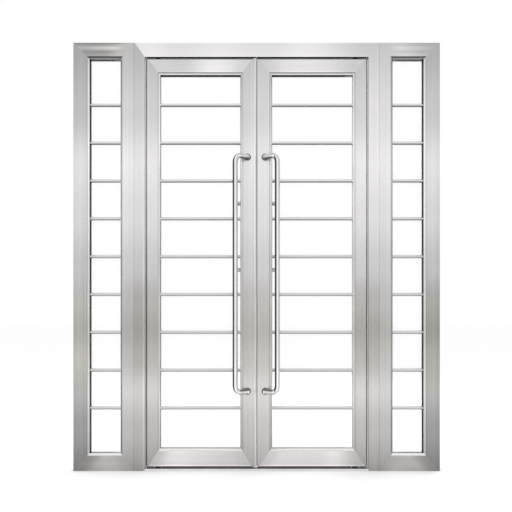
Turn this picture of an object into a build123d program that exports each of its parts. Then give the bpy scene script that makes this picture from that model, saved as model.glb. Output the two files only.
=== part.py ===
from build123d import *
import math
import os

# A double-leaf lobby door in brushed stainless steel, with a narrow sidelight on each side.
# Millimetres. X runs to the right seen from the front, the front faces -Y and Z is up.
# The origin is on the floor, in the middle of the doorway and of the frame's depth.

# Overall sizes of the set
set_height = 2500.0
clear_opening = 1306.0
sidelight_width = 353.0
frame_depth = 80.0

# Door frame
door_jamb_width = 64.0
door_header_height = 82.0
threshold_height = 12.0
threshold_edge_bevel = 3.0
frame_edge_radius = 2.0
frame_mitre_land = 4.0

# Sidelight frames
sidelight_jamb_width = 80.0
sidelight_stile_width = 65.0
sidelight_top_rail_height = 80.0
sidelight_bottom_rail_height = 89.0
sidelight_bead_width = 13.0
sidelight_bead_bevel = 9.0

# Leaves
leaf_thickness = 50.0
hinge_gap = 8.0
meeting_gap = 7.0
head_gap = 11.0
foot_gap = 11.0
hinge_stile_width = 67.0
meeting_stile_width = 72.0
leaf_top_rail_height = 76.0
leaf_bottom_rail_height = 91.0
leaf_bead_width = 14.0
leaf_bead_bevel = 7.0
leaf_edge_radius = 1.5
heel_radius = 7.0
nose_radius = 5.0
leaf_mitre_land = 10.0

# Edge bar that closes the left leaf's meeting stile
astragal_width = 15.0
astragal_proud = 1.0
astragal_overrun = 5.5
capped_stile_width = 61.0

# Glazing: clear panes let into a groove in the beads, which stand a little behind the faces
bead_set_back = 2.0
glass_thickness = 6.0
glass_centre_y = 8.0
glass_bite = 7.0
groove_depth = 8.0
groove_clearance = 0.5

# Guard bars in front of the glass, level from bay to bay, drawn with few sides
bar_diameter = 20.0
bar_sides = 12
bar_glass_gap = 1.5
bar_pitch = 222.0
lowest_bar_height = 365.0
top_bar_margin = 60.0

# Pull handles: a bent tube, set out sideways over the glass, on a round rose at each foot.
# The sides drawn round each tube are a multiple of four, so that runs and bends line up.
front_pull_diameter = 30.0
front_pull_sides = 16
front_pull_height = 1400.0
front_pull_centre_height = 1149.0
front_pull_offset = 70.0
front_pull_reach = 86.0
front_pull_bend_radius = 32.0
front_pull_foot_radius = 26.0
inside_pull_diameter = 25.0
inside_pull_sides = 12
inside_pull_height = 422.0
inside_pull_centre_height = 1376.0
inside_pull_offset = 74.0
inside_pull_reach = 90.0
inside_pull_bend_radius = 27.0
inside_pull_foot_radius = 26.0
pull_foot_inset = 26.0
rose_rim = 6.0
rose_thickness = 4.0
rose_edge_bevel = 1.5

# Centre pivots that carry the leaves
pivot_inset = 65.0
pivot_clearance = 0.3
top_pin_diameter = 15.0
top_pin_depth = 28.0
top_flange_diameter = 36.0
bottom_spindle_diameter = 20.0
bottom_spindle_depth = 20.0
bottom_shoulder_diameter = 30.0
bottom_flange_diameter = 44.0
pivot_flange_thickness = 4.0
pivot_bore_spare = 2.0

# Places that follow from the sizes above
jamb_face_x = clear_opening / 2
door_frame_x = jamb_face_x + door_jamb_width
set_edge_x = door_frame_x + sidelight_width
header_underside = set_height - door_header_height
leaf_foot = threshold_height + foot_gap
leaf_head = header_underside - head_gap
heel_x = jamb_face_x - hinge_gap
nose_x = meeting_gap / 2
pivot_x = heel_x - pivot_inset
bar_centre_y = glass_centre_y - glass_thickness / 2 - bar_glass_gap - bar_diameter / 2
highest_bar_limit = leaf_head - leaf_top_rail_height - leaf_bead_width - top_bar_margin
bar_count = int((highest_bar_limit - lowest_bar_height) // bar_pitch) + 1
bar_heights = [lowest_bar_height + row * bar_pitch for row in range(bar_count)]

os.makedirs("parts", exist_ok=True)


def save(name, *solids):
    """Write one piece, or a group of like pieces, to its own file."""
    shape = solids[0] if len(solids) == 1 else Compound(children=list(solids))
    export_step(shape, f"parts/{name}.step")


def block(x_low, x_high, y_low, y_high, z_low, z_high):
    """A box between two corners."""
    centre = ((x_low + x_high) / 2, (y_low + y_high) / 2, (z_low + z_high) / 2)
    return Pos(*centre) * Box(x_high - x_low, y_high - y_low, z_high - z_low)


def slab(x_low, x_high, z_low, z_high, depth):
    """An upright slab, centred on the frame's depth."""
    return block(x_low, x_high, -depth / 2, depth / 2, z_low, z_high)


def frame_outlines(x_low, x_high, z_low, z_high, left, right, top, bottom, land):
    """Front outlines of a frame's members, mitred from the inner corners towards the outer ones.

    Each mitre ends on the head or foot, a land in from the corner, so the uprights keep the
    corners. With no bottom member the uprights stand square on their feet.
    """
    in_left = x_low + left
    in_right = x_high - right
    in_foot = z_low + bottom
    in_head = z_high - top
    outlines = {
        "left": [(x_low, z_low), (x_low, z_high), (x_low + land, z_high), (in_left, in_head)],
        "right": [(x_high, z_low), (x_high, z_high), (x_high - land, z_high), (in_right, in_head)],
        "top": [(x_low + land, z_high), (x_high - land, z_high), (in_right, in_head), (in_left, in_head)],
    }
    outlines["left"].append((in_left, in_foot))
    outlines["right"].append((in_right, in_foot))
    if bottom:
        outlines["left"].append((x_low + land, z_low))
        outlines["right"].append((x_high - land, z_low))
        outlines["bottom"] = [
            (x_low + land, z_low),
            (x_high - land, z_low),
            (in_right, in_foot),
            (in_left, in_foot),
        ]
    return outlines


def member(outline, depth):
    """One member: its front outline through the full depth."""
    corners = [corner for number, corner in enumerate(outline) if corner != outline[number - 1]]
    face = Plane.XZ * make_face(Polyline(*corners, close=True))
    return extrude(face, amount=depth / 2, both=True)


def long_edges(side, body):
    """A member's outer pair of long edges, then its inner pair."""
    upright = side in ("left", "right")
    edges = body.edges().filter_by(Axis.Z if upright else Axis.X)
    groups = edges.group_by(Axis.X if upright else Axis.Z)
    outer_first = side in ("left", "bottom")
    return (groups[0], groups[-1]) if outer_first else (groups[-1], groups[0])


def mitred_frame(x_low, x_high, z_low, z_high, left, right, top, bottom, depth, land, rounds):
    """Box-section members mitred into a frame; rounds gives the outer radii of the uprights
    and the radius of every other long edge."""
    left_radius, right_radius, edge_radius = rounds
    outer_radius = {"left": left_radius, "right": right_radius, "top": edge_radius, "bottom": edge_radius}
    members = {}
    outlines = frame_outlines(x_low, x_high, z_low, z_high, left, right, top, bottom, land)
    for side, outline in outlines.items():
        body = member(outline, depth)
        body = fillet(long_edges(side, body)[0], outer_radius[side])
        members[side] = fillet(long_edges(side, body)[1], edge_radius)
    return members


def glazing(x_low, x_high, z_low, z_high, bead_width, bevel, member_depth):
    """Beads, bars and pane for the opening between four members."""
    depth = member_depth - 2 * bead_set_back
    inner = (x_low + bead_width, x_high - bead_width, z_low + bead_width, z_high - bead_width)
    half_groove = glass_thickness / 2 + groove_clearance
    groove = block(
        inner[0] - groove_depth,
        inner[1] + groove_depth,
        glass_centre_y - half_groove,
        glass_centre_y + half_groove,
        inner[2] - groove_depth,
        inner[3] + groove_depth,
    )
    widths = (bead_width, bead_width, bead_width, bead_width)
    beads = {}
    for side, outline in frame_outlines(x_low, x_high, z_low, z_high, *widths, 0).items():
        bead = member(outline, depth)
        beads[side] = chamfer(long_edges(side, bead)[1], bevel) - groove
    pane = block(
        inner[0] - glass_bite,
        inner[1] + glass_bite,
        glass_centre_y - glass_thickness / 2,
        glass_centre_y + glass_thickness / 2,
        inner[2] - glass_bite,
        inner[3] + glass_bite,
    )
    bars = []
    for height in bar_heights:
        end = Plane(origin=(inner[0], bar_centre_y, height), x_dir=(0, 1, 0), z_dir=(1, 0, 0))
        section = end * RegularPolygon(bar_diameter / 2, bar_sides)
        bars.append(extrude(section, amount=inner[1] - inner[0]))
    return beads, bars, pane


def save_glazing(prefix, beads, bars, pane):
    """The nodes of one glazed bay."""
    save(f"{prefix}_side_beads", beads["left"], beads["right"])
    save(f"{prefix}_cross_beads", beads["top"], beads["bottom"])
    save(f"{prefix}_bars", *bars)
    save(f"{prefix}_glass", pane)


def bent_tube(route, diameter, sides):
    """A tube along straight runs and arcs, with each run turned the way of the bend beside it."""
    runs = route.order_edges()
    lengths = []
    for number, run in enumerate(runs):
        straight = run.geom_type == GeomType.LINE
        bend = runs[max(number - 1, 1)] if straight else run
        spoke = bend @ 0 - bend.arc_center
        across = spoke.cross(bend % 0)
        end = Plane(origin=run @ 0, x_dir=across, z_dir=run % 0)
        section = end * RegularPolygon(diameter / 2, sides)
        if straight:
            lengths.append(extrude(section, amount=run.length))
        else:
            turn = math.degrees(run.length / spoke.length)
            lengths.append(revolve(section, Axis(bend.arc_center, across), revolution_arc=turn))
    return lengths[0].fuse(*lengths[1:])


def pull(foot_x, outward, side, diameter, sides, height, centre, offset, reach, bend_radius, foot_radius):
    """A pull tube with its two roses: outward is the way over the glass, side the way it faces."""
    face_y = side * leaf_thickness / 2
    foot_y = face_y + side * rose_thickness
    elbow_y = face_y + side * (reach - offset)
    grip_x = foot_x + outward * offset
    grip_y = face_y + side * reach
    arm_rise = (height - diameter) / 2
    high = centre + arm_rise
    low = centre - arm_rise
    route = FilletPolyline(
        (foot_x, foot_y, high),
        (foot_x, elbow_y, high),
        (grip_x, grip_y, high),
        (grip_x, grip_y, low),
        (foot_x, elbow_y, low),
        (foot_x, foot_y, low),
        radius=[foot_radius, bend_radius, bend_radius, foot_radius],
    )
    tube = bent_tube(route, diameter, sides)
    roses = []
    for level in (high, low):
        disc = extrude(RegularPolygon(diameter / 2 + rose_rim, sides), amount=rose_thickness)
        disc = chamfer(disc.edges().group_by(Axis.Z)[-1], rose_edge_bevel)
        seat = Plane(origin=(foot_x, face_y, level), x_dir=(0, 0, 1), z_dir=(0, side, 0))
        roses.append(seat * disc)
    return tube, roses


def pivot_bore(x, foot, depth, diameter):
    """The space that a pivot pin takes in a rail, with its running clearance."""
    radius = diameter / 2 + pivot_clearance
    return Pos(x, 0, foot + depth / 2) * Cylinder(radius, depth)


# Door frame: two jambs that stand on the floor and a header mitred onto them
door_frame = mitred_frame(
    -door_frame_x,
    door_frame_x,
    0,
    set_height,
    door_jamb_width,
    door_jamb_width,
    door_header_height,
    0,
    frame_depth,
    frame_mitre_land,
    (frame_edge_radius, frame_edge_radius, frame_edge_radius),
)
save("door_jamb_left", door_frame["left"])
save("door_jamb_right", door_frame["right"])
save("door_header", door_frame["top"])

# Threshold: a low bar between the jambs, bevelled along its two long upper edges
threshold = slab(-jamb_face_x, jamb_face_x, 0, threshold_height, frame_depth)
threshold_edges = threshold.faces().sort_by(Axis.Z)[-1].edges().filter_by(Axis.X)
save("threshold", chamfer(threshold_edges, threshold_edge_bevel))

# Sidelights: the wide jamb is on the outside of the set and the slimmer stile against the door
for side_name, direction in (("left", -1), ("right", 1)):
    x_low = min(direction * door_frame_x, direction * set_edge_x)
    x_high = max(direction * door_frame_x, direction * set_edge_x)
    left_width = sidelight_jamb_width if direction < 0 else sidelight_stile_width
    right_width = sidelight_stile_width if direction < 0 else sidelight_jamb_width
    members = mitred_frame(
        x_low,
        x_high,
        0,
        set_height,
        left_width,
        right_width,
        sidelight_top_rail_height,
        sidelight_bottom_rail_height,
        frame_depth,
        frame_mitre_land,
        (frame_edge_radius, frame_edge_radius, frame_edge_radius),
    )
    outer_side = "left" if direction < 0 else "right"
    inner_side = "right" if direction < 0 else "left"
    save(f"{side_name}_sidelight_jamb", members[outer_side])
    save(f"{side_name}_sidelight_stile", members[inner_side])
    save(f"{side_name}_sidelight_top_rail", members["top"])
    save(f"{side_name}_sidelight_bottom_rail", members["bottom"])
    beads, bars, pane = glazing(
        x_low + left_width,
        x_high - right_width,
        sidelight_bottom_rail_height,
        set_height - sidelight_top_rail_height,
        sidelight_bead_width,
        sidelight_bead_bevel,
        frame_depth,
    )
    save_glazing(f"{side_name}_sidelight", beads, bars, pane)

# Leaves: four mitred members each, bored for their pivots, glazed, barred and handled
for side_name, direction in (("left", -1), ("right", 1)):
    capped = direction < 0
    stile_nose_x = nose_x + astragal_width if capped else nose_x
    meeting_width = capped_stile_width if capped else meeting_stile_width
    stile_nose_radius = leaf_edge_radius if capped else nose_radius
    x_low = -heel_x if capped else stile_nose_x
    x_high = -stile_nose_x if capped else heel_x
    left_width = hinge_stile_width if capped else meeting_width
    right_width = meeting_width if capped else hinge_stile_width
    rounds = (heel_radius, stile_nose_radius) if capped else (stile_nose_radius, heel_radius)
    members = mitred_frame(
        x_low,
        x_high,
        leaf_foot,
        leaf_head,
        left_width,
        right_width,
        leaf_top_rail_height,
        leaf_bottom_rail_height,
        leaf_thickness,
        leaf_mitre_land,
        (*rounds, leaf_edge_radius),
    )
    axis_x = direction * pivot_x
    top_bore_depth = top_pin_depth + pivot_bore_spare
    bottom_bore_depth = bottom_spindle_depth + pivot_bore_spare
    top_rail = members["top"] - pivot_bore(
        axis_x, leaf_head - top_bore_depth, top_bore_depth, top_pin_diameter
    )
    bottom_rail = members["bottom"] - pivot_bore(
        axis_x, leaf_foot, bottom_bore_depth, bottom_spindle_diameter
    )
    hinge_side = "left" if capped else "right"
    meeting_side = "right" if capped else "left"
    save(f"{side_name}_leaf_hinge_stile", members[hinge_side])
    save(f"{side_name}_leaf_meeting_stile", members[meeting_side])
    save(f"{side_name}_leaf_top_rail", top_rail)
    save(f"{side_name}_leaf_bottom_rail", bottom_rail)
    beads, bars, pane = glazing(
        x_low + left_width,
        x_high - right_width,
        leaf_foot + leaf_bottom_rail_height,
        leaf_head - leaf_top_rail_height,
        leaf_bead_width,
        leaf_bead_bevel,
        leaf_thickness,
    )
    save_glazing(f"{side_name}_leaf", beads, bars, pane)

    foot_x = direction * (stile_nose_x + meeting_width - pull_foot_inset)
    front_tube, front_roses = pull(
        foot_x,
        direction,
        -1,
        front_pull_diameter,
        front_pull_sides,
        front_pull_height,
        front_pull_centre_height,
        front_pull_offset,
        front_pull_reach,
        front_pull_bend_radius,
        front_pull_foot_radius,
    )
    inside_tube, inside_roses = pull(
        foot_x,
        direction,
        1,
        inside_pull_diameter,
        inside_pull_sides,
        inside_pull_height,
        inside_pull_centre_height,
        inside_pull_offset,
        inside_pull_reach,
        inside_pull_bend_radius,
        inside_pull_foot_radius,
    )
    save(f"{side_name}_leaf_front_pull", front_tube)
    save(f"{side_name}_leaf_inside_pull", inside_tube)
    save(f"{side_name}_leaf_pull_roses", *front_roses, *inside_roses)

# Edge bar on the left leaf: a round-nosed strip that runs a little past both ends of the leaf
astragal = slab(
    -nose_x - astragal_width,
    -nose_x,
    leaf_foot - astragal_overrun,
    leaf_head + astragal_overrun,
    leaf_thickness + 2 * astragal_proud,
)
save("left_leaf_astragal", fillet(long_edges("right", astragal)[0], nose_radius))

# Pivots: a flanged pin under the header, and a flanged spindle with a thrust shoulder below
top_pins = []
bottom_spindles = []
for direction in (-1, 1):
    pin_profile = Polyline(
        (0, leaf_head - top_pin_depth),
        (top_pin_diameter / 2, leaf_head - top_pin_depth),
        (top_pin_diameter / 2, header_underside - pivot_flange_thickness),
        (top_flange_diameter / 2, header_underside - pivot_flange_thickness),
        (top_flange_diameter / 2, header_underside),
        (0, header_underside),
        close=True,
    )
    spindle_top = leaf_foot + bottom_spindle_depth
    shoulder_top = leaf_foot - pivot_clearance
    spindle_profile = Polyline(
        (0, threshold_height),
        (bottom_flange_diameter / 2, threshold_height),
        (bottom_flange_diameter / 2, threshold_height + pivot_flange_thickness),
        (bottom_shoulder_diameter / 2, threshold_height + pivot_flange_thickness),
        (bottom_shoulder_diameter / 2, shoulder_top),
        (bottom_spindle_diameter / 2, shoulder_top),
        (bottom_spindle_diameter / 2, spindle_top),
        (0, spindle_top),
        close=True,
    )
    place = Pos(direction * pivot_x, 0, 0)
    top_pins.append(place * revolve(Plane.XZ * make_face(pin_profile), Axis.Z))
    bottom_spindles.append(place * revolve(Plane.XZ * make_face(spindle_profile), Axis.Z))
save("top_pivots", *top_pins)
save("bottom_pivots", *bottom_spindles)
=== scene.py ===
import math

import bpy
from mathutils import Matrix, Vector


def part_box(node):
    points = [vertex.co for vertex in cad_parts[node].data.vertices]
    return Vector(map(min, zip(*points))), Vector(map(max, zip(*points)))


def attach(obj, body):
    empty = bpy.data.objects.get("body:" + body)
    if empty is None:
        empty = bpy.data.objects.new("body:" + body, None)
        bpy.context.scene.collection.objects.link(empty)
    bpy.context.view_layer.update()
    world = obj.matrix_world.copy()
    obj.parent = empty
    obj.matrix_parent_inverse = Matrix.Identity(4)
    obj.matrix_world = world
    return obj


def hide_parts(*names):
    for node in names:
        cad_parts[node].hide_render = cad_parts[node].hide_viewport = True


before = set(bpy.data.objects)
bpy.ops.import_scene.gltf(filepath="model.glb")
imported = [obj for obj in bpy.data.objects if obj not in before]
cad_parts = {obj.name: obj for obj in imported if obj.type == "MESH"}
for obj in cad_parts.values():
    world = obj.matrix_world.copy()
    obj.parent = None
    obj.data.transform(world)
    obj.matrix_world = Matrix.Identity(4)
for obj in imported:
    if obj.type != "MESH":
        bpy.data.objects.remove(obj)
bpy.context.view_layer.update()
bpy.ops.object.select_all(action="DESELECT")

# Door frame: two jambs and a header folded from 1.5 mm stainless sheet, mitred and welded at the
# corners and ground along their length to a hairline finish. They are screwed to the wall behind.


def linear(level):
    """The shader value of a lightness as it is seen, from 0 for black to 1 for white."""
    return level / 12.92 if level <= 0.04045 else ((level + 0.055) / 1.055) ** 2.4


class Reading:
    """A value in a finish: arithmetic on it adds Math nodes."""

    def __init__(self, tree, socket=None):
        self.tree = tree
        self.socket = socket

    def node(self, kind, settings=None, sockets=None, output=0):
        """Any node: its settings come first, then the values or links of its sockets."""
        made = self.tree.nodes.new(kind)
        for name, value in (settings or {}).items():
            if name == "stops":
                ramp = made.color_ramp
                while len(ramp.elements) < len(value):
                    ramp.elements.new(1.0)
                for stop, (place, level) in zip(ramp.elements, value):
                    stop.position = place
                    stop.color = (level, level, level, 1.0)
            elif name == "curve":
                made.color_ramp.interpolation = value
            else:
                setattr(made, name, value)
        for name, value in (sockets or {}).items():
            if isinstance(value, Reading):
                self.tree.links.new(value.socket, made.inputs[name])
            else:
                made.inputs[name].default_value = value
        return Reading(self.tree, made.outputs[output])

    def math(self, operation, *values):
        """One Math node."""
        return self.node("ShaderNodeMath", {"operation": operation}, dict(enumerate(values)))

    def __add__(self, other):
        return self.math("ADD", self, other)

    def __sub__(self, other):
        return self.math("SUBTRACT", self, other)

    def __rsub__(self, other):
        return self.math("SUBTRACT", other, self)

    def __mul__(self, other):
        return self.math("MULTIPLY", self, other)

    def __abs__(self):
        return self.math("ABSOLUTE", self)

    __radd__ = __add__
    __rmul__ = __mul__

    def along(self, letter):
        """One coordinate of a place or a direction."""
        return self.node("ShaderNodeSeparateXYZ", sockets={0: self}, output=letter)

    def between(self, low, high):
        """0 at the low value and 1 at the high one, with a smooth rise."""
        reach = {"Value": self, "From Min": low, "From Max": high}
        return self.node("ShaderNodeMapRange", {"interpolation_type": "SMOOTHSTEP"}, reach)

    def levels(self, low, high, stops):
        """A lightness that changes between the low and the high value: its stops are values and
        how light each is seen."""
        marks = [((value - low) / (high - low), linear(level)) for value, level in stops]
        reach = {"Value": self, "From Min": low, "From Max": high}
        spread = self.node("ShaderNodeMapRange", {}, reach)
        return spread.node("ShaderNodeValToRGB", {"stops": marks, "curve": "EASE"}, {"Fac": spread})

    def grain(self, scale, detail, shift):
        """Noise about 0 on a place, with the number of marks to a metre along each axis."""
        scaling = {"Vector": self, "Scale": scale, "Location": shift}
        spot = self.node("ShaderNodeMapping", {}, scaling)
        cloud = {"Vector": spot, "Scale": 1.0, "Detail": detail, "Roughness": 0.6}
        return self.node("ShaderNodeTexNoise", {}, cloud) - 0.5

    def tinted(self, colour):
        """A colour scaled by this value."""
        return self.node("ShaderNodeVectorMath", {"operation": "SCALE"}, {0: colour, "Scale": self})


STEEL = (1.0, 0.982, 0.987)
GRIME = (1.0, 0.975, 0.9)


def new_finish(name):
    """A fresh material, its shader, and the place on the piece that its patterns read."""
    finish = bpy.data.materials.new(name)
    finish.use_nodes = True
    shader = finish.node_tree.nodes["Principled BSDF"]
    place = Reading(finish.node_tree).node("ShaderNodeTexCoord", output="Object")
    return finish, shader, place


def feed(shader, **values):
    """Link readings to the shader's sockets, and set plain numbers on them."""
    for name, value in values.items():
        socket = shader.inputs[name.replace("_", " ")]
        if isinstance(value, Reading):
            value.tree.links.new(value.socket, socket)
        else:
            socket.default_value = value


def put_on(piece, finish):
    """Dress a whole piece in one finish."""
    piece.data.materials.clear()
    piece.data.materials.append(finish)


def hairlines(place, grain_axis, seed):
    """Ground streaks along one axis: broad soft bands, fine lines and single hairlines."""
    shift = (seed * 3.7, seed * 1.9, seed * 5.3)

    def stretched(across, lengthways):
        return (lengthways, across, across) if grain_axis == "x" else (across, across, lengthways)

    bands = place.grain(stretched(36.0, 0.25), 1.0, shift)
    lines = place.grain(stretched(120.0, 0.5), 2.0, shift)
    hairs = place.grain(stretched(1700.0, 6.0), 2.0, shift)
    return bands, lines, hairs


def seam_between(post, rail):
    """The ends of the mitre between an upright and a rail, its outer end first, in x and z."""
    post_low, post_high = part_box(post)
    rail_low, rail_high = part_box(rail)
    post_is_left = post_low.x < rail_low.x
    rail_is_top = rail_low.z > (post_low.z + post_high.z) / 2
    outer_x, inner_x = (rail_low.x, post_high.x) if post_is_left else (rail_high.x, post_low.x)
    outer_z, inner_z = (rail_high.z, rail_low.z) if rail_is_top else (rail_low.z, rail_high.z)
    return (outer_x, outer_z), (inner_x, inner_z)


def off_seam(place, seam, width=0.001):
    """0 on a seam and 1 beside it."""
    (x_outer, z_outer), (x_inner, z_inner) = seam
    length = math.hypot(x_inner - x_outer, z_inner - z_outer)
    slope_x = (z_outer - z_inner) / length
    slope_z = (x_inner - x_outer) / length
    start = x_outer * slope_x + z_outer * slope_z
    distance = place.along("X") * slope_x + place.along("Z") * slope_z - start
    return abs(distance).between(width * 0.15, width)


def painted_gap_shade(*sides, dark=0.65, gleam=0.2, front=0.12, high_up=0.0):
    """Painted shade in the depth of a narrow gap, less at its front, and a painted highlight on the
    rounded edges before it: each side is an axis and the way along it. high_up takes the painted
    shade away towards the head."""

    def shade(place, colour):
        facing = place.node("ShaderNodeTexCoord", output="Normal")
        deep = 1.0 - abs(place.along("Y")).between(0.014, 0.034)
        low_down = 1.0 - place.along("Z").between(0.8, 1.9) * high_up
        for letter, way in sides:
            lean = facing.along(letter) * way
            edge = lean.between(0.15, 0.4) - lean.between(0.75, 0.95)
            inside = lean.between(0.8, 0.98) * low_down
            colour = colour * (1.0 + edge * gleam) * (1.0 - inside * (front + deep * dark))
        return colour

    return shade


def grind(
    node, grain_axis, tone, seed, seams=(), streak=0.7, edge_shade=None, grime=0.8, hue=STEEL
):
    """The hairline finish of one folded member: tone gives its lightness from a place on it,
    painted reflection included, edge_shade adds painted shade and highlight, and grime how yellow
    its lower half has become."""
    finish, shader, place = new_finish("hairline_" + node)
    bands, lines, hairs = hairlines(place, grain_axis, seed)
    colour = tone(place) * (1.0 + bands * (0.16 * streak) + lines * (0.26 * streak) + hairs * 0.1)
    for seam in seams:
        colour = colour * (0.92 + off_seam(place, seam) * 0.08)
    if edge_shade:
        colour = edge_shade(place, colour)
    smudge = place.grain((7.0, 7.0, 5.0), 4.0, (seed, 0.0, seed))
    height = place.along("Z")
    low_down = 1.0 - height.between(0.85, 1.15)
    dirty = low_down * (0.35 + height.between(0.4, 0.75) * 0.65) * grime
    hues = {0: dirty, 6: (*hue, 1.0), 7: (*GRIME, 1.0)}
    tint = place.node("ShaderNodeMix", {"data_type": "RGBA"}, hues, output=2)
    feed(
        shader,
        Base_Color=colour.tinted(tint),
        Metallic=1.0,
        Roughness=0.3 + lines * 0.2 + smudge * 0.12,
    )
    put_on(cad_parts[node], finish)


# Painted reflection: how light the ground uprights are painted from foot to head, where they mirror
# the room: height and lightness.
painted_reflection_levels = [
    (0.0, 0.62),
    (0.26, 0.70),
    (0.47, 0.785),
    (0.65, 0.7),
    (0.82, 0.65),
    (1.0, 0.7),
    (1.2, 0.785),
    (1.5, 0.865),
    (1.8, 0.91),
    (2.1, 0.82),
    (2.5, 0.74),
]


def upright(shift=0.0, reach=1.0, foot=0.0, waist=0.0, head=0.0):
    """The painted reflection tone of an upright: the shared levels, lighter or darker as a whole or
    in three parts, or made flatter."""
    middle = 0.8
    stops = []
    for height, level in painted_reflection_levels:
        part = foot if height < 0.5 else waist if height < 1.1 else head if height > 2.0 else 0.0
        stops.append((height, middle + (level - middle) * reach + shift + part))
    return lambda place: place.along("Z").levels(0.0, 2.5, stops)


def highlight_lined(tone, centre, reach, gain, low_only=0.0):
    """An upright's tone with a painted highlight line along it, or only along its lower half."""

    def with_line(place):
        line = 1.0 - abs(place.along("X") - centre).between(0.0, reach)
        low_down = 1.0 - place.along("Z").between(1.0, 1.6) * low_only
        return tone(place) * (1.0 + line * low_down * gain)

    return with_line


def across_rail(node, levels, patches=()):
    """The painted reflection tone of a rail, from the heights over its lower edge in millimetres
    and their lightness. Soft patches along it are painted reflections of the room: where each is,
    how far it reaches and its gain."""
    low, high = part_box(node)
    stops = [(low.z + height / 1000, level) for height, level in levels]

    def tone(place):
        colour = place.along("Z").levels(low.z, high.z, stops)
        for centre, reach, gain in patches:
            distance = abs(place.along("X") - centre)
            colour = colour * (1.0 + gain - distance.between(0.0, reach) * gain)
        return colour

    return tone


# The frame's tones are painted reflection: bands along and across each member, a painted highlight
# line on the left jamb, and painted shade in the gaps by the leaves.
left_seam = seam_between("door_jamb_left", "door_header")
right_seam = seam_between("door_jamb_right", "door_header")
left_tone = highlight_lined(upright(-0.01, waist=-0.02), -0.658, 0.008, 0.3, 0.85)
left_gap = painted_gap_shade(("X", 1.0), dark=0.7, high_up=0.85)
grind("door_jamb_left", "z", left_tone, 1.0, [left_seam], edge_shade=left_gap)
right_tone = upright(0.01, waist=-0.01, head=0.05)
right_gap = painted_gap_shade(("X", -1.0), dark=0.2)
grind("door_jamb_right", "z", right_tone, 2.0, [right_seam], edge_shade=right_gap)
header_levels = [(0, 0.93), (8, 0.9), (40, 0.89), (72, 0.88), (80, 0.905)]
header_patches = [(-0.62, 0.14, 0.09), (-0.22, 0.22, 0.07), (0.28, 0.2, 0.09), (0.66, 0.27, -0.2)]
header_tone = across_rail("door_header", header_levels, header_patches)
header_gap = painted_gap_shade(("Z", -1.0), dark=0.35, front=0.6)
grind("door_header", "x", header_tone, 3.0, [left_seam, right_seam], 0.5, header_gap)

# Threshold: a stainless bar bevelled along both long edges, screwed to the floor between the
# jambs. Shoes have scuffed its top crossways and dulled it.

finish, shader, place = new_finish("walked_on_steel")
bands, lines, hairs = hairlines(place, "x", 4.0)
scuffs = place.grain((25.0, 160.0, 25.0), 4.0, (0.0, 0.0, 0.0)).between(0.1, 0.3)
dirt = place.grain((9.0, 9.0, 9.0), 5.0, (2.0, 0.0, 0.0)).between(-0.1, 0.35)
# Painted shade on the top under the leaves, and at the foot where the bar meets the floor.
painted_shade_under_leaf = 1.0 - abs(place.along("Y")).between(0.018, 0.026)
painted_shade_at_floor = 1.0 - place.along("Z").between(0.001, 0.005)
colour = linear(0.94) * (1.0 + bands * 0.15 + lines * 0.2 + hairs * 0.1) * (1.0 - dirt * 0.12)
colour = colour * (1.0 - painted_shade_under_leaf * 0.85) * (1.0 - painted_shade_at_floor * 0.35)
feed(
    shader,
    Base_Color=colour.tinted(STEEL),
    Metallic=1.0,
    Roughness=0.36 + scuffs * 0.15 + dirt * 0.12,
)
put_on(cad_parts["threshold"], finish)

# Sidelight frames: the same folded members, wide jambs outside and slimmer stiles against the
# door, mitred at head and foot. Splashes have dulled the feet of the left jamb most.

ROSY_STEEL = (1.0, 0.957, 0.963)
DULL_STEEL = (1.0, 0.985, 0.962)
mitre_fade = 0.085


def grind_post(post, rails, tone, seed, streak=0.7, **look):
    """The finish of an upright that is mitred to these rails."""
    seams = [seam_between(post, rail) for rail in rails]
    grind(post, "z", tone, seed, seams, streak, **look)


def grind_rail(rail, levels, patches, posts, seed, **look):
    """The finish of a rail that passes into the tones of its uprights towards the mitres: for each
    upright, its name, its tone and how far the rail takes it up."""
    rail_tone = across_rail(rail, levels, patches)

    def tone(place):
        colour = rail_tone(place)
        for post, post_tone, share in posts:
            near = (1.0 - off_seam(place, seam_between(post, rail), mitre_fade)) * share
            colour = colour + near * (post_tone(place) - colour)
        return colour

    seams = [seam_between(post, rail) for post, post_tone, share in posts]
    grind(rail, "x", tone, seed, seams, 0.5, **look)


# The rails' levels and patches, and the uprights' tones, are painted reflection and shade.
sidelight_foot = [(0, 0.74), (6, 0.72), (40, 0.715), (75, 0.7), (89, 0.74)]
sidelight_looks = {
    "left_sidelight": {
        "seed": 5.0,
        "jamb": upright(-0.03, foot=-0.085, waist=0.045, head=-0.04),
        "stile": upright(0.01, waist=0.01),
        "top": [(0, 0.66), (8, 0.69), (26, 0.61), (50, 0.83), (62, 0.7), (76, 0.58)],
        "top_patches": [(-1.03, 0.2, -0.2), (-0.76, 0.14, 0.2)],
        "top_hue": DULL_STEEL,
        "foot_patches": [(-1.0, 0.12, -0.25)],
    },
    "right_sidelight": {
        "seed": 9.0,
        "jamb": upright(-0.035, 1.1, foot=-0.07),
        "stile": upright(0.01, waist=0.03, head=0.04),
        "top": [(0, 0.82), (8, 0.84), (26, 0.775), (50, 0.85), (62, 0.79), (76, 0.76)],
        "top_patches": [(0.78, 0.14, 0.1), (1.05, 0.22, -0.22)],
        "top_hue": STEEL,
        "foot_patches": [(0.77, 0.07, 0.1), (1.0, 0.25, -0.1)],
    },
}

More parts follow.
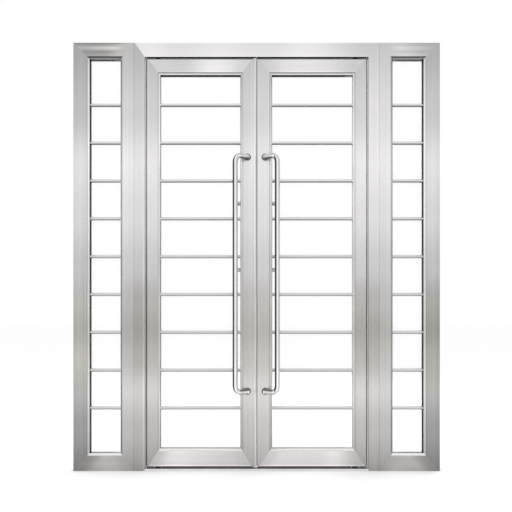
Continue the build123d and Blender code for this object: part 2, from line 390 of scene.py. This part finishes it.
for bay, look in sidelight_looks.items():
    jamb, stile = f"{bay}_jamb", f"{bay}_stile"
    top, bottom = f"{bay}_top_rail", f"{bay}_bottom_rail"
    seed, jamb_tone, stile_tone = look["seed"], look["jamb"], look["stile"]
    grind_post(jamb, (top, bottom), jamb_tone, seed, 1.0, grime=1.5)
    grind_post(stile, (top, bottom), stile_tone, seed + 1.0, grime=0.5)
    posts = [(jamb, jamb_tone, 0.35), (stile, stile_tone, 1.0)]
    grind_rail(top, look["top"], look["top_patches"], posts, seed + 2.0, hue=look["top_hue"])
    posts = [(jamb, jamb_tone, 0.8), (stile, stile_tone, 0.8)]
    foot_look = {"grime": 0.3, "hue": ROSY_STEEL}
    grind_rail(bottom, sidelight_foot, look["foot_patches"], posts, seed + 3.0, **foot_look)

# Leaves: four mitred hollow members each, ground like the frame, with a welded edge bar on the
# left leaf that covers the meeting gap. The rails are painted lighter than the stiles.

# Painted reflection across the leaf rails; the foot rail's lowest 2 mm are painted shade under its
# rounded lower edge, with a painted highlight just above.
leaf_top = [(0, 0.93), (8, 0.89), (40, 0.87), (68, 0.87), (76, 0.9)]
leaf_foot = [
    (0, 0.3),
    (2, 0.35),
    (4, 0.99),
    (8, 0.97),
    (13, 0.83),
    (50, 0.84),
    (84, 0.85),
    (91, 0.88),
]
leaf_looks = {
    "left_leaf": {
        "seed": 13.0,
        "outward": -1.0,
        "lighter": 0.0,
        "heel_dark": 0.6,
        "top_patches": [(-0.46, 0.18, -0.15), (-0.25, 0.17, 0.14)],
        "foot_patches": [(-0.62, 0.12, -0.12), (-0.46, 0.14, 0.1), (-0.12, 0.24, -0.11)],
    },
    "right_leaf": {
        "seed": 17.0,
        "outward": 1.0,
        "lighter": 0.012,
        "heel_dark": 0.25,
        "top_patches": [(0.03, 0.15, -0.09), (0.28, 0.2, 0.08), (0.56, 0.14, -0.13)],
        "foot_patches": [(0.03, 0.07, -0.06), (0.44, 0.09, 0.1), (0.6, 0.12, -0.18)],
    },
}
upwards = ("Z", 1.0)
downwards = ("Z", -1.0)

for leaf, look in leaf_looks.items():
    hinge, meeting = f"{leaf}_hinge_stile", f"{leaf}_meeting_stile"
    top, bottom = f"{leaf}_top_rail", f"{leaf}_bottom_rail"
    seed, outward, lighter = look["seed"], look["outward"], look["lighter"]
    heel_gap = painted_gap_shade(("X", outward), upwards, downwards, dark=look["heel_dark"])
    meeting_gap = painted_gap_shade(("X", -outward), upwards, downwards, gleam=0.45)
    hinge_tone = upright(0.005 + lighter, waist=-lighter)
    meeting_tone = upright(0.01 + lighter, 0.8)
    grind_post(hinge, (top, bottom), hinge_tone, seed, edge_shade=heel_gap)
    grind_post(meeting, (top, bottom), meeting_tone, seed + 1.0, edge_shade=meeting_gap)
    posts = [(hinge, hinge_tone, 0.4), (meeting, meeting_tone, 0.4)]
    top_look = {"edge_shade": painted_gap_shade(upwards)}
    grind_rail(top, leaf_top, look["top_patches"], posts, seed + 2.0, **top_look)
    foot_look = {"edge_shade": painted_gap_shade(downwards), "grime": 0.0, "hue": ROSY_STEEL}
    grind_rail(bottom, leaf_foot, look["foot_patches"], posts, seed + 3.0, **foot_look)

# The edge bar has a painted highlight line down its nose and a painted highlight on its rounded
# edge by the gap.
bar_tone = highlight_lined(upright(0.04, 0.85), -0.0035, 0.012, 0.22)
grind("left_leaf_astragal", "z", bar_tone, 21.0, edge_shade=painted_gap_shade(("X", 1.0), gleam=0.8))

# Glazing beads: folded steel angles mitred round each bay and clipped in, with a splayed face
# towards the glass. The outer splay has a painted highlight, the deep reveals painted shade.


def bead_shade(letter, sign, steps, joints):
    """Painted highlight and shade on a bead's faces, from stops on the lean of the face along one
    axis.
    Its joints with the members are dark lines with painted shade in the step beside them: each has
    its place, its width and how dark it is."""

    def shade(place, colour):
        for joint, width, depth in joints:
            colour = colour * (1.0 - depth + off_seam(place, joint, width) * depth)
        lean = place.node("ShaderNodeTexCoord", output="Normal").along(letter) * sign
        ramp = {"stops": [((step + 1.0) / 2.0, level) for step, level in steps], "curve": "LINEAR"}
        return colour * place.node("ShaderNodeValToRGB", ramp, {"Fac": lean * 0.5 + 0.5})

    return shade


# Painted shade: how light the deep reveal of the outer side bead is painted in each bay.
reveal_painted_shade = {
    "left_sidelight": 0.18,
    "left_leaf": 0.25,
    "right_leaf": 0.9,
    "right_sidelight": 0.18,
}

for number, (bay, reveal) in enumerate(reveal_painted_shade.items()):
    seed = 23.0 + number * 2
    on_left = bay.startswith("left")
    in_sidelight = bay.endswith("sidelight")

    inner = 0.8 if in_sidelight else 0.4
    side_steps = [(-1.0, inner), (-0.9, inner), (-0.75, 1.1), (-0.6, 1.1), (-0.1, 0.98)]
    side_steps += [(0.1, 0.98), (0.6, 1.4), (0.75, 1.4), (0.95, reveal)]
    low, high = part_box(f"{bay}_side_beads")
    outer_x, inner_x = (low.x, high.x) if on_left else (high.x, low.x)
    side_joints = [
        (((outer_x, low.z), (outer_x, high.z)), 0.0035, 0.5),
        (((inner_x, low.z), (inner_x, high.z)), 0.0035, 0.15 if in_sidelight else 0.5),
    ]
    side_shade = bead_shade("X", 1.0 if on_left else -1.0, side_steps, side_joints)
    side_tone = upright(0.0, 0.9, waist=0.07)
    grind(f"{bay}_side_beads", "z", side_tone, seed, edge_shade=side_shade)

    cross = f"{bay}_cross_beads"
    low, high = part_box(cross)
    # The head bead is painted darker than the foot bead and its joint line widened, as painted
    # shade under the head; splay levels over 1 are painted highlight.
    head_level, splay = (0.55, 1.122) if in_sidelight else (0.72, 1.53)
    cross_steps = [(-0.95, 0.1), (-0.8, splay), (-0.6, splay), (-0.1, 1.0)]
    cross_steps += [(0.1, 1.0), (0.6, 1.3), (0.75, 1.3), (0.95, 0.7)]
    head_width, head_depth = (0.0125, 0.97) if in_sidelight else (0.011, 0.5)
    cross_joints = [
        (((low.x, high.z), (high.x, high.z)), head_width, head_depth),
        (((low.x, low.z), (high.x, low.z)), 0.002, 0.2),
    ]
    cross_shade = bead_shade("Z", 1.0, cross_steps, cross_joints)
    rise = (high.z - low.z) * 1000
    cross_levels = [(0, 0.86), (100, 0.86), (rise - 100, head_level), (rise, head_level)]
    grind(cross, "x", across_rail(cross, cross_levels), seed + 1.0, edge_shade=cross_shade)

# Panes: 6 mm clear float glass let into the beads, a little dusty, with pale green cut edges.

finish, shader, place = new_finish("clear_glass")
dust = place.grain((3.0, 3.0, 2.0), 5.0, (4.0, 0.0, 0.0)).between(-0.2, 0.4)
wiped = place.grain((30.0, 30.0, 2.0), 2.0, (0.0, 0.0, 6.0)).between(0.0, 0.35)
facing = place.node("ShaderNodeTexCoord", output="Normal").along("Y")
cut_edge = 1.0 - abs(facing).between(0.3, 0.7)
colour = place.node(
    "ShaderNodeMix",
    {"data_type": "RGBA"},
    {0: cut_edge, 6: (0.9, 0.93, 0.92, 1.0), 7: (0.12, 0.36, 0.27, 1.0)},
    output=2,
)
feed(
    shader,
    Base_Color=colour,
    Alpha=0.05 + dust * 0.03 + wiped * 0.015 + cut_edge * 0.6,
    Roughness=0.04 + dust * 0.08,
)
for bay in ("left_sidelight", "left_leaf", "right_leaf", "right_sidelight"):
    put_on(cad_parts[f"{bay}_glass"], finish)

# Gaskets: a black rubber wedge pressed in all round between each pane and its beads, on both
# sides, with a rounded lip that shows as a thin dark line.

gasket_sight = 0.0018
gasket_lip = 0.0012
lip_round = 0.0005
bay_bodies = {
    "left_sidelight": "frame",
    "left_leaf": "left_leaf",
    "right_leaf": "right_leaf",
    "right_sidelight": "frame",
}
# How much of the rubber shows at the left, the right and the head of each bay. Where it is
# wider, the dark rubber stands in for the shade in a deep reveal.
sights_with_painted_shade = {
    "left_sidelight": (0.005, gasket_sight, gasket_sight),
    "left_leaf": (gasket_sight, gasket_sight, 0.007),
    "right_leaf": (gasket_sight, gasket_sight, 0.007),
    "right_sidelight": (gasket_sight, 0.005, gasket_sight),
}


def move_side(gasket, axis, line, distance):
    """Move the vertices on one line of the window, in edit mode."""
    bpy.ops.mesh.select_all(action="DESELECT")
    bpy.ops.object.mode_set(mode="OBJECT")
    for corner in gasket.data.vertices:
        corner.select = abs(corner.co[axis] - line) < 0.0001
    bpy.ops.object.mode_set(mode="EDIT")
    shift = [0.0, 0.0, 0.0]
    shift[axis] = distance
    bpy.ops.transform.translate(value=shift)


def glaze(name, window_low, window_high, y_glass, outwards, sights):
    """A picture frame of rubber round one window, standing off the glass. It shows more at its
    left, right or head where the sights say so."""
    centre = (window_low + window_high) / 2
    size = window_high - window_low
    bpy.ops.mesh.primitive_plane_add(
        size=1.0, location=(centre.x, y_glass, centre.z), rotation=(math.pi / 2, 0, 0)
    )
    gasket = bpy.context.active_object
    gasket.name = name
    gasket.scale = (size.x, size.z, 1.0)
    bpy.ops.object.transform_apply(location=True, rotation=True, scale=True)
    bpy.ops.object.mode_set(mode="EDIT")
    bpy.ops.mesh.select_all(action="SELECT")
    bpy.ops.mesh.inset(thickness=gasket_sight, use_even_offset=True)
    bpy.ops.mesh.delete(type="FACE")
    left_sight, right_sight, head_sight = sights
    move_side(gasket, 0, window_low.x + gasket_sight, left_sight - gasket_sight)
    move_side(gasket, 0, window_high.x - gasket_sight, gasket_sight - right_sight)
    move_side(gasket, 2, window_high.z - gasket_sight, gasket_sight - head_sight)
    bpy.ops.mesh.select_all(action="SELECT")
    lift = (0, outwards * gasket_lip, 0)
    bpy.ops.mesh.extrude_region_move(TRANSFORM_OT_translate={"value": lift})
    bpy.ops.mesh.select_all(action="SELECT")
    bpy.ops.mesh.normals_make_consistent(inside=False)
    bpy.ops.object.mode_set(mode="OBJECT")
    rounding = gasket.modifiers.new("lip", "BEVEL")
    rounding.width = lip_round
    rounding.segments = 2
    bpy.ops.object.modifier_apply(modifier="lip")
    bpy.ops.object.shade_smooth_by_angle(angle=math.radians(40))
    bpy.ops.object.select_all(action="DESELECT")
    return gasket


def join(name, pieces):
    """Several meshes made into one piece, at the origin."""
    bpy.ops.object.select_all(action="DESELECT")
    for piece in pieces:
        piece.select_set(True)
    bpy.context.view_layer.objects.active = pieces[0]
    bpy.ops.object.join()
    joined = bpy.context.active_object
    joined.name = name
    bpy.ops.object.transform_apply(location=True, rotation=True, scale=True)
    bpy.ops.object.select_all(action="DESELECT")
    return joined


rubber, shader, place = new_finish("black_rubber")
bloom = place.grain((60.0, 60.0, 60.0), 4.0, (0.0, 0.0, 0.0))
# Painted light: a lighter band on the rubber at the right leaf's outer side. The rubber is also
# lighter from about 0.73 to 0.83 m out on either side.
aside = place.along("X")
lighter_inner_sides = abs(aside).between(0.7, 0.75) - abs(aside).between(0.8, 0.86)
painted_light_band = aside.between(0.5, 0.55) - aside.between(0.6, 0.65)
rubber_tone = linear(0.28) + (lighter_inner_sides + painted_light_band * 0.6) * (linear(0.8) - linear(0.28))
feed(
    shader,
    Base_Color=(rubber_tone * (1.0 + bloom * 0.5)).tinted((1.0, 1.0, 1.02)),
    Roughness=0.55 + bloom * 0.2,
)

for bay, body in bay_bodies.items():
    bar_low, bar_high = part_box(f"{bay}_bars")
    glass_low, glass_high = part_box(f"{bay}_glass")
    lap = bar_low.x - glass_low.x
    window_low = Vector((bar_low.x, 0, glass_low.z + lap))
    window_high = Vector((bar_high.x, 0, glass_high.z - lap))
    front = glaze("front_lip", window_low, window_high, glass_low.y, -1, sights_with_painted_shade[bay])
    back = glaze("back_lip", window_low, window_high, glass_high.y, 1, sights_with_painted_shade[bay])
    gaskets = join(f"{bay}_gaskets", [front, back])
    put_on(gaskets, rubber)
    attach(gaskets, body)

# Guard bars: satin stainless tubes of 20 mm in front of each pane, welded into the beads at both
# ends. They stand level from bay to bay.

bar_diameter = 0.020
bar_pitch = 0.222

# Painted reflection and shade: the bars are painted light on top and dark below by the lean of the
# face, the high bars darker below than the low ones.
satin, shader, place = new_finish("satin_bars")
facing = place.node("ShaderNodeTexCoord", output="Normal").along("Z")
bands, lines, hairs = hairlines(place, "x", 31.0)
rings = place.grain((2.0, 40.0, 2.0), 2.0, (0.0, 0.0, 0.0))
upper_stops = [(-1.0, 0.34), (-0.6, 0.45), (-0.2, 0.75), (0.3, 0.93), (1.0, 0.84)]
lower_stops = [(-1.0, 0.6), (-0.5, 0.66), (0.0, 0.78), (0.4, 0.86), (1.0, 0.84)]
upper_tone = facing.levels(-1.0, 1.0, upper_stops)
lower_tone = facing.levels(-1.0, 1.0, lower_stops)
tone = lower_tone + place.along("Z").between(1.0, 2.0) * (upper_tone - lower_tone)
colour = tone * (1.0 + rings * 0.12 + lines * 0.1 + hairs * 0.1)
feed(
    shader,
    Base_Color=colour.tinted(STEEL),
    Metallic=1.0,
    Roughness=0.28 + lines * 0.15,
)

for bay, body in bay_bodies.items():
    low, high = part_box(f"{bay}_bars")
    rows = round((high.z - low.z - bar_diameter) / bar_pitch) + 1
    bpy.ops.mesh.primitive_cylinder_add(
        vertices=32,
        radius=bar_diameter / 2,
        depth=high.x - low.x,
        location=((low.x + high.x) / 2, (low.y + high.y) / 2, low.z + bar_diameter / 2),
        rotation=(0, math.pi / 2, 0),
    )
    bars = bpy.context.active_object
    bars.name = f"{bay}_round_bars"
    bpy.ops.object.transform_apply(location=True, rotation=True, scale=True)
    ranks = bars.modifiers.new("rows", "ARRAY")
    ranks.count = rows
    ranks.use_relative_offset = False
    ranks.use_constant_offset = True
    ranks.constant_offset_displace = (0, 0, bar_pitch)
    bpy.ops.object.modifier_apply(modifier="rows")
    bpy.ops.object.shade_smooth_by_angle(angle=math.radians(40))
    bpy.ops.object.select_all(action="DESELECT")
    put_on(bars, satin)
    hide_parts(f"{bay}_bars")
    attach(bars, body)

# Pull handles: one polished stainless tube each, bent four times, so that the grip stands out
# over the glass. Its two feet are welded to round roses on the meeting stile.

half_leaf = 0.025
rose_depth = 0.004
rose_rim = 0.006
rose_round = 0.0015

# The grip's middle line stands aside of the feet by the offset and off the leaf by the reach. The
# side is the way out along Y, and half_rise runs from an arm's middle line to the end of the box.
pulls = {
    "front": {
        "side": -1,
        "radius": 0.015,
        "half_rise": 0.015,
        "offset": 0.070,
        "reach": 0.086,
        "bend": 0.042,
        "foot_bend": 0.026,
        "dark_behind": 0.45,
        "grip_stops": [
            (-1.0, 0.6),
            (-0.92, 0.3),
            (-0.75, 0.2),
            (-0.42, 0.3),
            (-0.2, 0.97),
            (0.02, 1.0),
            (0.3, 0.84),
            (0.7, 0.76),
            (1.0, 0.84),
        ],
    },
    "inside": {
        "side": 1,
        "radius": 0.01205,
        "half_rise": 0.01207,
        "offset": 0.074,
        "reach": 0.090,
        "bend": 0.027,
        "foot_bend": 0.026,
        "dark_behind": 0.85,
        "grip_stops": [
            (-1.0, 0.6),
            (-0.75, 0.5),
            (-0.3, 0.95),
            (0.1, 1.0),
            (0.6, 0.7),
            (1.0, 0.55),
        ],
    },
}
# Painted shade on the tubes' undersides, by the lean of the face.
under_stops = [
    (-1.0, 0.22),
    (-0.65, 0.3),
    (-0.35, 0.86),
    (0.1, 1.0),
    (0.7, 0.95),
    (0.95, 0.62),
    (1.0, 0.55),
]


def polish(name, grip_x, make):
    """The polish of a tube, with painted reflection and shade: its grip has a painted reflection of
    a dark corner on one side, and its arms are painted dark below, where they meet the leaf and on
    the side that they turn to it."""
    finish, shader, place = new_finish(name)
    facing = place.node("ShaderNodeTexCoord", output="Normal")
    lines = place.grain((260.0, 260.0, 2.5), 3.0, (0.0, 0.0, 0.0))
    hands = place.grain((8.0, 8.0, 5.0), 4.0, (3.0, 1.0, 0.0))
    on_grip = 1.0 - abs(place.along("X") - grip_x).between(make["radius"], make["radius"] * 1.5)
    arm_tone = linear(0.95)
    grip_tone = facing.along("X").levels(-1.0, 1.0, make["grip_stops"])
    sideways = arm_tone + on_grip * (grip_tone - arm_tone)
    lower_arm = 1.0 - place.along("Z").between(0.6, 1.7)
    underneath = (facing.along("Z") + lower_arm * 0.5).levels(-1.0, 1.0, under_stops)
    forward = facing.along("Y")
    near_leaf = 1.0 - abs(place.along("Y")).between(0.034, 0.05)
    turned_away = 1.0 - abs(forward).between(0.6, 0.95)
    behind = (forward * -make["side"]).between(0.3, 0.9)
    tone = sideways * underneath * (1.0 - near_leaf * (0.22 + turned_away * 0.6))
    tone = tone * (1.0 - behind * make["dark_behind"])
    feed(
        shader,
        Base_Color=(tone * (1.0 + lines * 0.06)).tinted(STEEL),
        Metallic=1.0,
        Roughness=0.14 + hands * 0.1 + lines * 0.05,
    )
    return finish


# The roses are painted dark, their sides darkest, as painted shade round the feet of the tubes.
turned, shader, place = new_finish("turned_roses")
rim = abs(place.node("ShaderNodeTexCoord", output="Normal").along("Y")).between(0.6, 0.98)
rings = place.grain((300.0, 300.0, 300.0), 2.0, (0.0, 0.0, 0.0))
tone = linear(0.22) + rim * (linear(0.46) - linear(0.22))
feed(
    shader,
    Base_Color=(tone * (1.0 + rings * 0.15)).tinted(STEEL),
    Metallic=1.0,
    Roughness=0.25 + rings * 0.1,
)


def draw_tube(name, start, heading, radius, steps):
    """A tube drawn out of a ring: each step is a straight run, or the angle, radius and axis of
    a bend."""
    turn = Vector((0, 0, 1)).rotation_difference(heading).to_euler()
    bpy.ops.mesh.primitive_circle_add(vertices=40, radius=radius, location=start, rotation=turn)
    tube = bpy.context.active_object
    tube.name = name
    bpy.ops.object.transform_apply(location=True, rotation=True, scale=True)
    bpy.ops.object.mode_set(mode="EDIT")
    bpy.ops.mesh.select_all(action="SELECT")
    place = Vector(start)
    for step in steps:
        if isinstance(step, float):
            run = heading * step
            bpy.ops.mesh.extrude_region_move(TRANSFORM_OT_translate={"value": run})
            place = place + run
            continue
        angle, bend_radius, axis = step
        centre = place + axis.cross(heading) * bend_radius
        parts = max(6, round(math.degrees(angle) / 6))
        bpy.ops.mesh.spin(steps=parts, angle=-angle, center=centre, axis=axis)
        bend = Matrix.Rotation(angle, 3, axis)
        place = centre + bend @ (place - centre)
        heading = bend @ heading
    bpy.ops.mesh.select_all(action="SELECT")
    bpy.ops.mesh.remove_doubles(threshold=0.00001)
    bpy.ops.mesh.normals_make_consistent(inside=False)
    bpy.ops.object.mode_set(mode="OBJECT")
    bpy.ops.object.shade_smooth()
    bpy.ops.object.select_all(action="DESELECT")
    return tube


def turn_rose(centre, side, tube_radius):
    """A round rose with a softened rim, flat on the stile."""
    bpy.ops.mesh.primitive_cylinder_add(
        vertices=48,
        radius=tube_radius + rose_rim,
        depth=rose_depth,
        location=centre,
        rotation=(math.pi / 2, 0, 0),
    )
    rose = bpy.context.active_object
    bpy.ops.object.transform_apply(location=True, rotation=True, scale=True)
    bpy.ops.object.mode_set(mode="EDIT")
    bpy.ops.mesh.select_all(action="DESELECT")
    bpy.ops.object.mode_set(mode="OBJECT")
    for edge in rose.data.edges:
        ends = [rose.data.vertices[corner].co for corner in edge.vertices]
        edge.select = all((end.y - centre[1]) * side > 0 for end in ends)
    bpy.ops.object.mode_set(mode="EDIT")
    bpy.ops.mesh.bevel(offset=rose_round, segments=3)
    bpy.ops.object.mode_set(mode="OBJECT")
    bpy.ops.object.shade_smooth_by_angle(angle=math.radians(35))
    bpy.ops.object.select_all(action="DESELECT")
    return rose


for leaf, outward in (("left_leaf", -1), ("right_leaf", 1)):
    rose_low, rose_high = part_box(f"{leaf}_pull_roses")
    foot_x = (rose_low.x + rose_high.x) / 2
    roses = []
    for pull, make in pulls.items():
        node = f"{leaf}_{pull}_pull"
        low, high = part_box(node)
        side = make["side"]
        leaf_y = side * half_leaf
        foot_y = leaf_y + side * rose_depth
        elbow_y = leaf_y + side * (make["reach"] - make["offset"])
        upper = high.z - make["half_rise"]
        lower = low.z + make["half_rise"]

        quarter, eighth = math.pi / 2, math.pi / 4
        away = Vector((0, side, 0))
        slant = Vector((outward, side, 0)).normalized()
        out_axis = away.cross(slant).normalized()
        down_axis = slant.cross(Vector((0, 0, -1))).normalized()
        foot_tangent = make["foot_bend"] * math.tan(eighth / 2)
        foot_run = abs(elbow_y - foot_y) - foot_tangent
        arm_run = make["offset"] * math.sqrt(2) - foot_tangent - make["bend"]
        grip_run = upper - lower - 2 * make["bend"]
        foot_bend = (eighth, make["foot_bend"], out_axis)
        grip_bend = (quarter, make["bend"], down_axis)
        half_way = [foot_run, foot_bend, arm_run, grip_bend]
        steps = half_way + [grip_run] + half_way[::-1]

        tube = draw_tube(f"{node}_tube", (foot_x, foot_y, upper), away, make["radius"], steps)
        put_on(tube, polish(f"{node}_polish", foot_x + outward * make["offset"], make))
        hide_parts(node)
        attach(tube, leaf)
        for height in (upper, lower):
            centre = (foot_x, leaf_y + side * rose_depth / 2, height)
            roses.append(turn_rose(centre, side, make["radius"]))
    roses = join(f"{leaf}_turned_roses", roses)
    put_on(roses, turned)
    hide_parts(f"{leaf}_pull_roses")
    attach(roses, leaf)

# Centre pivots: turned steel pins with flanges, oiled, one in the gap over each leaf and one in
# the gap under it, where little of them shows.

oiled, shader, place = new_finish("turned_steel")
rings = place.grain((3.0, 3.0, 900.0), 2.0, (0.0, 0.0, 0.0))
oil = place.grain((50.0, 50.0, 50.0), 3.0, (0.0, 0.0, 0.0)).between(-0.1, 0.3)
feed(
    shader,
    Base_Color=(linear(0.26) * (1.0 + rings * 0.25) * (1.0 - oil * 0.3)).tinted((1.0, 0.98, 0.95)),
    Metallic=1.0,
    Roughness=0.35 + rings * 0.2,
)
for node in ("top_pivots", "bottom_pivots"):
    put_on(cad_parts[node], oiled)

# Seals: black pile strips set in the edges of the leaves, which close the gaps at the heel, the
# head, the foot and the meeting line without touching the frame; their black also stands in for
# the shade deep in the gaps.

pile, shader, place = new_finish("black_pile")
tufts = place.grain((900.0, 900.0, 900.0), 2.0, (0.0, 0.0, 0.0))
# Painted light: the pile is painted lighter from 0.63 m to the right.
painted_light_on_right = place.along("X").between(0.62, 0.64) * (linear(0.62) - linear(0.13))
pile_tone = (linear(0.13) + painted_light_on_right) * (1.0 + tufts * 0.3)
feed(shader, Base_Color=pile_tone.tinted((1.0, 1.0, 1.0)), Roughness=0.95)

pile_width = 0.007
heel_reach = 0.004
nose_reach = 0.0025
head_reach = 0.009
pivot_reach = 0.58
head_clear = 0.020
foot_clear = 0.024
tip_round = 0.001


def lay_pile(low, high):
    """One strip of pile between two corners, its edges rounded."""
    middle = (Vector(low) + Vector(high)) / 2
    bpy.ops.mesh.primitive_cube_add(size=1.0, location=middle)
    strip = bpy.context.active_object
    strip.scale = Vector(high) - Vector(low)
    bpy.ops.object.transform_apply(location=True, rotation=True, scale=True)
    rounding = strip.modifiers.new("tips", "BEVEL")
    rounding.width = tip_round
    rounding.segments = 2
    bpy.ops.object.modifier_apply(modifier="tips")
    bpy.ops.object.select_all(action="DESELECT")
    return strip


for leaf, outward in (("left_leaf", -1), ("right_leaf", 1)):
    stile_low, stile_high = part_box(f"{leaf}_hinge_stile")
    heel_x = stile_low.x if outward < 0 else stile_high.x
    nose = "left_leaf_astragal" if outward < 0 else "right_leaf_meeting_stile"
    nose_low, nose_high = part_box(nose)
    nose_x = nose_high.x if outward < 0 else nose_low.x
    pivot_x = outward * pivot_reach
    foot_z, head_z = stile_low.z, stile_high.z
    half = pile_width / 2
    strips = [
        ((heel_x, -half, foot_z), (heel_x + outward * heel_reach, half, head_z)),
        ((nose_x, -half, foot_z), (nose_x - outward * nose_reach, half, head_z)),
        ((nose_x, -half, head_z), (pivot_x - outward * head_clear, half, head_z + head_reach)),
        ((nose_x, -half, foot_z), (pivot_x - outward * foot_clear, half, foot_z - head_reach)),
        ((heel_x, -half, head_z), (pivot_x + outward * head_clear, half, head_z + head_reach)),
        ((heel_x, -half, foot_z), (pivot_x + outward * foot_clear, half, foot_z - head_reach)),
    ]
    laid = []
    for one, other in strips:
        low = tuple(min(pair) for pair in zip(one, other))
        high = tuple(max(pair) for pair in zip(one, other))
        laid.append(lay_pile(low, high))
    seals = join(f"{leaf}_seals", laid)
    put_on(seals, pile)
    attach(seals, leaf)

# Studio: a plain white floor and surround, with one large soft lamp in front and above and a
# weaker one behind.

for name, size, place, turn, watts in (
    ("key", 4.0, (-1.5, -5.0, 5.0), (math.radians(50), 0, math.radians(-15)), 120.0),
    ("fill", 5.0, (2.5, 4.0, 4.0), (math.radians(-50), 0, math.radians(-25)), 90.0),
):
    lamp_data = bpy.data.lights.new(name, "AREA")
    lamp_data.size = size
    lamp_data.energy = watts
    lamp = bpy.data.objects.new(name, lamp_data)
    lamp.location = place
    lamp.rotation_euler = turn
    lamp.visible_glossy = False
    bpy.context.scene.collection.objects.link(lamp)

bpy.ops.mesh.primitive_plane_add(size=60.0, location=(0, 0, 0))
floor = bpy.context.active_object
floor.name = "floor"
paint, shader, place = new_finish("white_floor")
speckle = place.grain((4.0, 4.0, 4.0), 3.0, (0.0, 0.0, 0.0))
feed(shader, Base_Color=(0.985 + speckle * 0.01).tinted((1.0, 1.0, 1.0)), Roughness=0.9)
put_on(floor, paint)

world = bpy.data.worlds.new("white_room")
world.use_nodes = True
background = world.node_tree.nodes["Background"]
background.inputs["Color"].default_value = (1.0, 1.0, 1.0, 1.0)
background.inputs["Strength"].default_value = 1.0
bpy.context.scene.world = world

# Camera: level, a metre above the floor and facing the middle of the meeting gap, as the photograph
# was taken, with its lens raised to take in the head.

meeting_gap_x = -0.0035
front_plane = -0.04
camera_height = 1.0
camera_distance = 5.5
picture_width = 2.988
picture_middle_height = 1.255
camera_data = bpy.data.cameras.new("camera")
camera_data.sensor_width = 36.0
camera_data.lens = camera_data.sensor_width * camera_distance / picture_width
camera_data.shift_y = (picture_middle_height - camera_height) / picture_width
camera = bpy.data.objects.new("camera", camera_data)
camera.location = (meeting_gap_x, front_plane - camera_distance, camera_height)
camera.rotation_euler = (math.pi / 2, 0, 0)
bpy.context.scene.collection.objects.link(camera)
bpy.context.scene.camera = camera
bpy.context.scene.view_settings.view_transform = "Standard"
